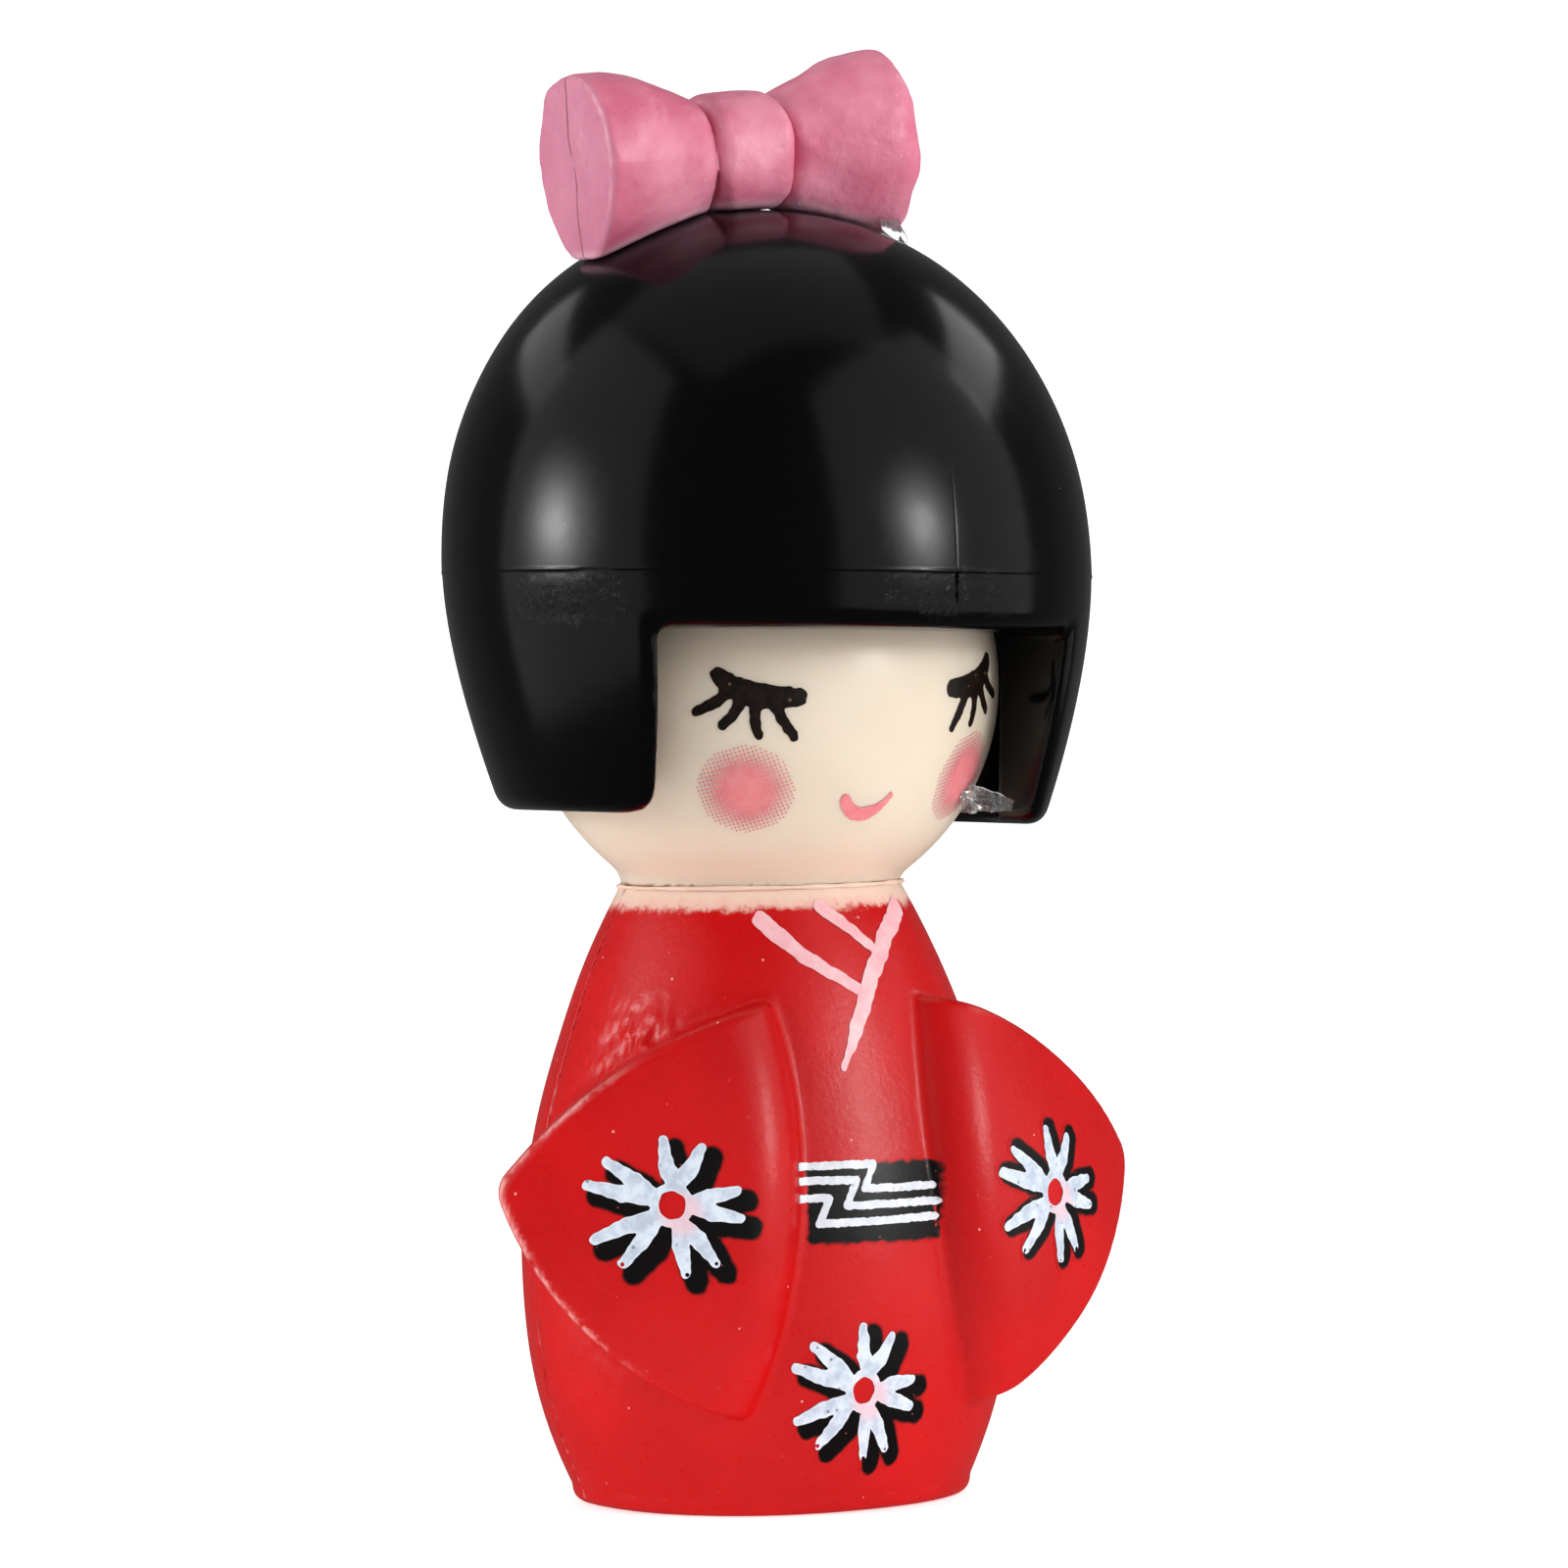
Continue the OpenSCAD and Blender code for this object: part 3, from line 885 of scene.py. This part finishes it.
def printed(name, shape, low, high, step, place, surface, material, lift=0.02):
    """A closed film of ink: the 2-D shape laid on a surface by place, which gives rays towards it."""
    field, body, slot = surface
    flat, faces = outline_mesh(shape, low, high, step)
    start, way = place(flat[:, 0], flat[:, 1])
    points = drop_on(field, start, way)
    normals = gradient(field, points)
    normals /= np.linalg.norm(normals, axis=1)[:, None]
    count = len(flat)
    used = {}
    for f in faces:
        for p, q in zip(f, f[1:] + f[:1]):
            used[(p, q)] = used.get((p, q), 0) + 1
    walls = [(p, p + count, q + count, q) for p, q in used if (q, p) not in used]
    turned = sum(np.dot(np.cross(points[f[1]] - points[f[0]], points[f[2]] - points[f[0]]), normals[f[0]])
                 for f in faces)
    shell = [list(f) for f in faces] + [[p + count for p in reversed(f)] for f in faces]
    shell += [list(w) for w in walls]
    if turned < 0:
        shell = [list(reversed(f)) for f in shell]
    both = np.vstack([points + lift * normals, points - FILM_SINK * normals])
    film = new_object(name, both, shell, material, np.vstack([normals, normals]))
    both_flat = np.vstack([flat, flat])
    mark(film, "inside", -shape(both_flat[:, 0], both_flat[:, 1]))
    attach(film, body)
    return film, both_flat


def on_body(radius):
    """Rays towards the body's axis: a runs round it, in millimetres at that radius, and b is the height."""
    def place(a, b):
        turn = a / radius
        way = np.stack([-np.sin(turn), np.cos(turn), 0 * a], 1)
        return np.stack([0 * a, 0 * a, b], 1) - 14 * way, way
    return place


def on_sleeve(side):
    """Rays straight at a sleeve's front face: a runs outwards along it and b is the height."""
    def place(a, b):
        x = SLEEVE_ALONG[0] * a + SLEEVE_OUT[0] * 12
        y = SLEEVE_ALONG[1] * a + SLEEVE_OUT[1] * 12
        way = np.array([-SLEEVE_OUT[0] * side, -SLEEVE_OUT[1], 0])
        return np.stack([x * side, y, b], 1), np.tile(way, (len(a), 1))
    return place


# The printed face's left side is a little higher
FACE_TILT = math.tan(math.radians(1.5))


def on_face(a, b):
    """Rays towards the head's centre line: a runs round the head from the face's middle, b is the height."""
    out = out_of_head(a / HEAD_R + FACE_TURN, b + FACE_TILT * a)
    return HEAD_CENTRE + (HEAD_R + 1) * out, -out


def on_cheek(turn, z):
    """Parallel rays at one spot of the head: a and b run right and up from it."""
    out = out_of_head(turn, z)
    right = np.array([math.cos(turn), math.sin(turn), 0])
    up = np.cross(right, -out)

    def place(a, b):
        start = HEAD_CENTRE + (HEAD_R + 1) * out + a[:, None] * right + b[:, None] * up
        return start, np.tile(-out, (len(a), 1))
    return place


# ---- Face

LID = bezier([(-5.80, 28.62), (-5.20, 27.95), (-4.40, 27.74), (-3.12, 27.76)], 12)
LID_WIDTHS = np.interp(np.linspace(0, 1, 12), [0, 0.3, 0.65, 1], [0.26, 0.41, 0.43, 0.32])
LASHES = [
    bezier([(-5.50, 28.05), (-5.80, 27.68), (-6.20, 27.55), (-6.58, 27.42)], 7),
    bezier([(-5.05, 27.75), (-5.20, 27.30), (-5.45, 27.10), (-5.70, 26.92)], 7),
    bezier([(-4.55, 27.60), (-4.62, 27.20), (-4.58, 26.80), (-4.46, 26.55)], 7),
    bezier([(-3.88, 27.55), (-3.80, 27.20), (-3.50, 26.80), (-3.25, 26.44)], 7),
]
LASH_WIDTHS = np.linspace(0.21, 0.16, 7)
MOUTH = bezier([(-1.14, 24.20), (-0.80, 23.54), (0.25, 23.46), (0.84, 24.27)], 20)
MOUTH_WIDTHS = np.interp(np.linspace(0, 1, 20), [0, 0.25, 0.6, 1], [0.20, 0.23, 0.23, 0.11])


def closed_eye(a, b):
    shape = stroke(a, b, LID, LID_WIDTHS)
    for lash in LASHES:
        shape = smooth_min(shape, stroke(a, b, lash, LASH_WIDTHS), 0.12)
    return shape


BLUSH_R = 1.66
DOT_PITCH, DOT_LEAN = 0.14, math.radians(-17)
DOT_R_MIDDLE, DOT_R_EDGE = 0.116, 0.030


def blush_dots(a, b):
    """A halftone: dots on a turned square grid, which grow and merge towards the middle."""
    u = math.cos(DOT_LEAN) * a - math.sin(DOT_LEAN) * b
    v = math.sin(DOT_LEAN) * a + math.cos(DOT_LEAN) * b
    u0, v0 = np.round(u / DOT_PITCH) * DOT_PITCH, np.round(v / DOT_PITCH) * DOT_PITCH
    away = np.hypot(u0, v0) / BLUSH_R
    size = DOT_R_MIDDLE - (DOT_R_MIDDLE - DOT_R_EDGE) * away
    dot = np.hypot(u - u0, v - v0) - np.where(away < 1, size, -0.1)
    return np.maximum(dot, -0.06)


# ---- Flowers

# Petal tips: distance from the flower's centre, and angle from the viewer's right, in pairs
PETAL_TIPS = [(2.15, 97), (2.11, 62), (2.18, 11), (2.32, -12), (2.40, -54), (2.32, -79),
              (2.52, -131), (2.84, -157), (2.90, 166), (2.60, 146)]
PETAL_ROOT = 0.72
FLOWER_HOLE = 0.46
SHADOW_SWELL = 0.35
# Three tips have a pinhole where the ink missed
PIN_R, PIN_BEYOND = 0.075, 0.05
FLOWER_REACH = 3.9


def flower(a, b, squeeze, turn):
    """Five pairs of tapered petals round an open centre."""
    a = a / squeeze
    shape = np.hypot(a, b) - 0.74
    for i in range(0, len(PETAL_TIPS), 2):
        pair = PETAL_TIPS[i:i + 2]
        middle = math.radians(sum(angle for _, angle in pair) / 2 + turn)
        root = (PETAL_ROOT * math.cos(middle), PETAL_ROOT * math.sin(middle))
        for reach, angle in pair:
            angle = math.radians(angle + turn)
            tip = (reach * math.cos(angle), reach * math.sin(angle))
            waist = (0.58 * tip[0], 0.58 * tip[1])
            shape = np.minimum(shape, stroke(a, b, [root, waist, tip], [0.31, 0.28, 0.165]))
    return shape


def flower_print(name, centre, place, shift, squeeze=1.0, turn=0.0, seen_right=1):
    """White petals over a fatter black shadow that was printed out of register by shift."""
    def local(a, b):
        return (a - centre[0]) * seen_right, b - centre[1]

    def white(a, b):
        x, y = local(a, b)
        shape = np.maximum(flower(x, y, squeeze, turn), FLOWER_HOLE - np.hypot(x / squeeze, y))
        for reach, angle in PETAL_TIPS[4:7]:
            angle = math.radians(angle + turn)
            reach = reach + PIN_BEYOND
            pin = np.hypot(x / squeeze - reach * math.cos(angle), y - reach * math.sin(angle))
            shape = np.maximum(shape, PIN_R - pin)
        return shape

    def black(a, b):
        x, y = local(a, b)
        hole = np.hypot((x - 0.07) / squeeze, y + 0.06)
        swollen = flower(x - shift[0], y - shift[1], squeeze, turn) - SHADOW_SWELL
        return np.maximum(swollen, FLOWER_HOLE - hole)

    low = (centre[0] - FLOWER_REACH, centre[1] - FLOWER_REACH)
    high = (centre[0] + FLOWER_REACH, centre[1] + FLOWER_REACH)
    printed(name + "_shadow", ragged(black, 51, 0.02, 0.5), low, high, 0.07, place, ON_KIMONO, SHADOW_INK,
            lift=0.012)
    petals, flat = printed(name + "_petals", ragged(white, 52, 0.02, 0.4), low, high, 0.055, place,
                           ON_KIMONO, WHITE_INK, lift=0.03)
    x, y = local(flat[:, 0], flat[:, 1])
    mark(petals, "blot", 1 - smooth_step(0.45, 0.95, np.hypot(x - 0.30, y + 0.30)))


# ---- Obi and collar

OBI_R = 8.45
OBI_LINES = [
    [(-2.83, 11.92), (0.10, 11.90), (-0.32, 11.09), (2.60, 11.06)],
    [(-2.83, 11.43), (-0.62, 11.40), (-1.06, 10.55), (2.70, 10.53)],
    [(-2.83, 10.85), (-1.70, 10.83), (-2.12, 9.98), (2.62, 10.02)],
]
OBI_LINE_HALF = 0.135
COLLAR_PRINT_R = 6.0
# Collar strokes: bearing from the doll's front in degrees, and height
COLLAR_STROKES = [
    ([(-27.3, 20.15), (-13.0, 18.85), (4.9, 17.64)], [0.29, 0.25, 0.17]),
    ([(34.3, 20.35), (20.9, 19.5), (9.6, 18.2), (1.4, 16.6), (-4.8, 15.1)], [0.34, 0.33, 0.30, 0.24, 0.08]),
    ([(-4.5, 20.5), (5.5, 19.75), (15.5, 18.8)], [0.25, 0.22, 0.17]),
]


def collar_stroke(points, widths):
    flat = [(math.radians(turn) * COLLAR_PRINT_R, z) for turn, z in points]
    return lambda a, b: stroke(a, b, flat, widths)


def obi_band(a, b):
    """The black band of the sash, slightly lower at the doll's left."""
    side = np.abs(a - 0.15) - 2.78
    tall = np.abs(b - 10.62 + 0.012 * a) - 1.44
    return smooth_max(side, tall, 0.15)


def obi_line(points):
    def shape(a, b):
        bar = stroke(a, b, points, [OBI_LINE_HALF] * len(points))
        return np.maximum(bar, points[0][0] - 0.05 - a)
    return shape


RED_PAINT = red_paint()
SKIN = skin_plastic()
HAIR_PLASTIC = hair_plastic()
BOW_PLASTIC = bow_plastic()
WHITE_INK = flower_ink()
BOW_GLUE = dried_glue("bow_glue_dry", 0.5)
HAIR_GLUE = dried_glue("hair_glue_dry", 0.35)
OBI_WHITE_INK = ink("obi_white_ink", (0.66, 0.69, 0.75), (0.80, 0.82, 0.86), 0.4, speck=(0.2, 0.2, 0.22),
                    speck_amount=0.4)
COLLAR_INK = ink("collar_ink", (0.86, 0.42, 0.46), (0.88, 0.56, 0.58), 0.6, 0.34)
LASH_INK = ink("lash_ink", (0.005, 0.003, 0.002), (0.018, 0.008, 0.005), 0.3, speck=(0.30, 0.17, 0.10),
               speck_amount=0.45)
ROUGE_INK = ink("rouge_ink", (0.78, 0.20, 0.22), (0.82, 0.27, 0.28), 0.4)
SHADOW_INK = shadow_ink()

# ======== The moulded pieces

def stand_for(piece, body, node):
    """The visible piece takes the CAD node's place on its body."""
    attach(piece, body)
    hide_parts(node)


BODY_STEP = 0.2

front = moulded("body_front_shell", body_front, FRONT_LOW, FRONT_HIGH, BODY_STEP, RED_PAINT)
stand_for(front, "body", "body_front")
mark(front, "flash", sleeve_flash(*points_of(front)))

back = moulded("body_back_shell", body_back, BACK_LOW, BACK_HIGH, BODY_STEP, RED_PAINT)
stand_for(back, "body", "body_back")



LIP_R, LIP_Z, LIP_HALF = COLLAR_R + 0.07, COLLAR_Z - 0.01, 0.075
LIP_TURNS, LIP_SIDES = 180, 12


def collar_ring():
    """Points and faces of a closed, slightly uneven ring round the doll's axis."""
    waves = Ripple(14, 1.5)
    points, faces = [], []
    for i in range(LIP_TURNS):
        turn = 2 * math.pi * i / LIP_TURNS
        x, y = math.cos(turn), math.sin(turn)
        tube = LIP_HALF * (1 + 0.25 * float(waves(LIP_R * x, LIP_R * y, LIP_Z)))
        for j in range(LIP_SIDES):
            lean = 2 * math.pi * j / LIP_SIDES
            r = LIP_R + tube * math.cos(lean)
            points.append((r * x, r * y, LIP_Z + tube * math.sin(lean)))
            here, ahead = i * LIP_SIDES, (i + 1) % LIP_TURNS * LIP_SIDES
            up = (j + 1) % LIP_SIDES
            faces.append((here + j, ahead + j, ahead + up, here + up))
    return np.array(points), faces


# The collar's worn lip, which hides the gap that the head turns on
collar_lip = new_object("collar_lip", *collar_ring(), RED_PAINT)
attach(collar_lip, "body")

ball = moulded("head_ball", head, HEAD_LOW, HEAD_HIGH, 0.25, SKIN)
stand_for(ball, "head", "head")

cap = moulded("hair_cap_shell", hair, (-HAIR_R, -HAIR_R - HAIR_FORWARD, HEM_Z),
              (HAIR_R, HAIR_R - HAIR_FORWARD, HAIR_Z + CROWN_H), 0.25, HAIR_PLASTIC,
              fine=[(2, HAIR_Z, 0.2, 0.05), (0, CRACK_X, 0.12, 0.04)], place=onto_head)
stand_for(cap, "head", "hair_cap")

ribbon = moulded("bow_ribbon", bow, BOW_LOW - 0.7, BOW_HIGH + 0.5, 0.12, BOW_PLASTIC)
stand_for(ribbon, "head", "bow")
mark(ribbon, "lip", smooth_step(0.5, 0.12, hair_surface(*off_head(*points_of(ribbon)))))
along_bow = to_bow(*points_of(ribbon))[0]
reach = np.where(along_bow < 0, BOW_END_LEFT, BOW_END_RIGHT)
mark(ribbon, "end", smooth_step(0.22, 0.08, reach - np.abs(along_bow)))


# ---- Glue

GLUE_LOW, GLUE_HIGH = size_of("bow_glue")
WEB_LOW, WEB_HIGH = size_of("hair_glue")
glue_waves = Ripple(61, 0.9)
web_folds = Ripple(62, 0.85)
WEB_CRUMPLE, WEB_HALF = 0.20, 0.035
GLUE_SINK = 0.03


def bow_glue(x, y, z):
    """A fillet of glue in the crack between bow and hair, which swells under the bow's left end."""
    bead = smooth_step(3.6, 5.2, x - BOW_CENTRE[0])
    width = 0.10 + 0.55 * bead + 0.05 * glue_waves(x, y, z)
    over_hair = hair_surface(*off_head(x, y, z))
    off_bow = bow(x, y, z)
    fillet = (over_hair + off_bow - width) * 0.6
    return np.maximum(fillet, -GLUE_SINK - np.minimum(over_hair, off_bow))


def hair_web(x, y, z):
    """A crumpled skin of glue, stretched from the cheek to the bottom of the hair's front edge."""
    along = (x - WEB_LOW[0]) / (WEB_HIGH[0] - WEB_LOW[0])
    middle = WEB_HIGH[1] - 0.25 - along * (WEB_HIGH[1] - WEB_LOW[1] - 0.5)
    fold = web_folds(x * 1.2, 0.3 * y, z * 1.5)
    sheet = np.abs(y - middle - WEB_CRUMPLE * fold) - WEB_HALF
    top = z - (WEB_LOW[2] + 0.05 + 1.1 * (1 - along) + 0.10 * fold)
    bottom = (WEB_LOW[2] - 0.05 + 0.06 * fold) - z
    skin = smooth_max(smooth_max(sheet, top, 0.06), bottom, 0.06)
    skin = np.maximum(skin, np.maximum(WEB_LOW[0] - x, x - WEB_HIGH[0]))
    return smooth_max(skin, -0.04 - head_surface(x, y, z), 0.03)


fillet = moulded("bow_glue_fillet", bow_glue, GLUE_LOW - 0.15, GLUE_HIGH + 0.15, 0.07, BOW_GLUE)
stand_for(fillet, "head", "bow_glue")
web = moulded("hair_glue_web", hair_web, WEB_LOW - 0.3, WEB_HIGH, 0.04, HAIR_GLUE)
stand_for(web, "head", "hair_glue")

# ---- Ink

for side, name in ((1, "eye_right"), (-1, "eye_left")):
    printed(name, ragged(lambda a, b: closed_eye(a * side, b), 71, 0.018, 0.35),
            (-7.1 if side > 0 else 2.4, 26.1), (-2.4 if side > 0 else 7.1, 29.2), 0.045,
            on_face, ON_HEAD, LASH_INK)
printed("mouth", ragged(lambda a, b: stroke(a, b, MOUTH, MOUTH_WIDTHS), 72, 0.012, 0.3),
        (-1.6, 23.2), (1.2, 24.6), 0.04, on_face, ON_HEAD, ROUGE_INK)
for side, name in ((-1, "blush_right"), (1, "blush_left")):
    printed(name, blush_dots, (-1.8, -1.8), (1.8, 1.8), 0.021, on_cheek(*cheek_place(side)), ON_HEAD,
            ROUGE_INK, lift=0.012)

printed("obi_band", ragged(obi_band, 73, 0.04, 0.35), (-3.3, 9.0), (3.3, 12.4), 0.075,
        on_body(OBI_R), ON_KIMONO, SHADOW_INK, lift=0.012)
for i, line in enumerate(OBI_LINES):
    printed("obi_line_" + str(i + 1), ragged(obi_line(line), 74 + i, 0.016, 0.3),
            (-3.1, 9.5), (2.9, 12.3), 0.05, on_body(OBI_R), ON_KIMONO, OBI_WHITE_INK, lift=0.03)
for i, (points, widths) in enumerate(COLLAR_STROKES):
    printed("collar_stroke_" + str(i + 1), ragged(collar_stroke(points, widths), 81 + i, 0.025, 0.45),
            (-3.4, 14.7), (4.2, 20.9), 0.06, on_body(COLLAR_PRINT_R), ON_KIMONO, COLLAR_INK,
            lift=0.02 + 0.006 * i)

flower_print("flower_right", (2.8, 10.87), on_sleeve(-1), shift=(0.34, -0.33), seen_right=-1)
flower_print("flower_left", (2.78, 10.55), on_sleeve(1), shift=(0.25, 0.0), turn=-3)
flower_print("flower_skirt", (-0.43, 4.27), on_body(8.3), squeeze=0.93, turn=-4, shift=(0.38, -0.26))

# ======== Camera and light

CAMERA_TURN = math.radians(-27.3)
CAMERA_FAR = 247
CAMERA_HEIGHT = 29.7
AIM = (0.9, 24.6)
CAMERA_ROLL = math.radians(1.1)
FOCAL = 164.0

across = Vector((math.cos(CAMERA_TURN), math.sin(CAMERA_TURN), 0))
towards_camera = Vector((math.sin(CAMERA_TURN), -math.cos(CAMERA_TURN), 0))
aim = across * AIM[0] + Vector((0, 0, AIM[1]))
eye = across * AIM[0] + towards_camera * CAMERA_FAR + Vector((0, 0, CAMERA_HEIGHT))
camera_data = bpy.data.cameras.new("camera")
camera_data.lens = FOCAL
camera_data.sensor_width = 36
camera_data.clip_start = 0.01
camera_data.clip_end = 20
camera = bpy.data.objects.new("camera", camera_data)
bpy.context.scene.collection.objects.link(camera)
turn = (aim - eye).to_track_quat("-Z", "Y").to_matrix().to_4x4()
camera.matrix_world = Matrix.Translation(eye * MM) @ turn @ Matrix.Rotation(-CAMERA_ROLL, 4, "Z")
bpy.context.scene.camera = camera


LAYER_GAP = 3


def lamp(name, where, at, size, radiance, shape="RECTANGLE", mirrored=True):
    """A lamp at where, facing at. Glossy surfaces show it only if it is mirrored."""
    where, at = Vector(where), Vector(at)
    data = bpy.data.lights.new(name, "AREA")
    data.shape = shape
    data.size, data.size_y = size[0] * MM, size[1] * MM
    data.energy = radiance * math.pi * data.size * data.size_y
    obj = bpy.data.objects.new(name, data)
    bpy.context.scene.collection.objects.link(obj)
    facing = (at - where).to_track_quat("-Z", "Y").to_matrix().to_4x4()
    obj.matrix_world = Matrix.Translation(where * MM) @ facing
    obj.visible_glossy = mirrored


def glow(name, where, at, size, steps):
    """A soft bright spot: ovals one in front of the other. steps lists share of the size, added radiance."""
    where, at = Vector(where), Vector(at)
    way = (at - where).normalized()
    for i, (share, radiance) in enumerate(steps):
        lamp(name + "_" + str(i + 1), where + way * LAYER_GAP * i, at, (size[0] * share, size[1] * share),
             radiance, "ELLIPSE")


def beside_camera(turn_deg, distance, height):
    """A point round the doll, turn_deg to the right of the camera's side."""
    turn = CAMERA_TURN + math.radians(turn_deg)
    return (math.sin(turn) * distance, -math.cos(turn) * distance, height)


CHEST = (0, 0, 25)
BOX_Z = 190
CORE = [(1.0, 0.5), (0.82, 0.9), (0.66, 1.5), (0.50, 2.6), (0.36, 4.5), (0.22, 8.0)]
lamp("left_softbox", beside_camera(-74, 260, BOX_Z), (0, 0, BOX_Z), (310, 500), 0.85)
lamp("right_softbox", beside_camera(66, 260, BOX_Z), (0, 0, BOX_Z), (440, 500), 0.85)
glow("left_core", beside_camera(-77, 255, 80), CHEST, (180, 150), CORE)
glow("right_core", beside_camera(57, 255, 90), CHEST, (140, 150), CORE)
lamp("left_rim", beside_camera(-122, 210, 180), CHEST, (150, 60), 1.4)
lamp("right_rim", beside_camera(120, 210, 180), CHEST, (150, 60), 2.2)
lamp("top_softbox", (0, 0, 280), CHEST, (280, 220), 0.4)
lamp("front_fill", beside_camera(8, 300, 110), CHEST, (340, 260), 0.75, mirrored=False)

world = bpy.data.worlds.new("studio")
world.use_nodes = True
world.node_tree.nodes["Background"].inputs["Color"].default_value = (0.11, 0.11, 0.11, 1)
bpy.context.scene.world = world
bpy.context.scene.view_settings.view_transform = "Standard"


def backdrop():
    """A pale floor that sweeps up behind the doll, with painted light: its colour and glow are bright around
    and behind the doll and dimmer in front.
    """
    look = Look("backdrop_paper", 0.85, Specular_IOR_Level=0.1)
    behind = -towards_camera
    depth = look.scaled(look.xyz[0], behind.x, look.times(look.xyz[1], behind.y))
    side = look.scaled(look.xyz[0], across.x, look.times(look.xyz[1], across.y))
    # Painted light: the floor's colour and glow are brighter behind and beside the doll
    painted_light = look.times(look.ramp(depth, -36 * MM, -20 * MM),
                    look.ramp(look.math("ABSOLUTE", side), 300 * MM, 150 * MM))
    look.colour(look.mix(painted_light, (0.55, 0.55, 0.55), (0.93, 0.93, 0.93)))
    look.shader.inputs["Emission Color"].default_value = (1, 1, 1, 1)
    look.put(look.shader, "Emission Strength", look.scaled(painted_light, 0.31, 0.25))
    bend = 300
    bend_from = 120
    half = 900
    below_doll = 0.02
    profile = [(-half, 0), (-60, 0), (0, 0), (bend_from, 0)]
    profile += [(bend_from + bend * math.sin(t), bend * (1 - math.cos(t)))
                for t in np.linspace(0, math.pi / 2, 24)[1:]]
    profile += [(bend_from + bend, half)]
    points = []
    for depth_mm, height in profile:
        for s in (-half, half):
            p = behind * depth_mm + across * s
            points.append((p.x, p.y, height - below_doll))
    faces = [(2 * i, 2 * i + 1, 2 * i + 3, 2 * i + 2) for i in range(len(profile) - 1)]
    sheet = new_object("backdrop", np.array(points), faces, look.material)
    sheet.visible_glossy = False


backdrop()
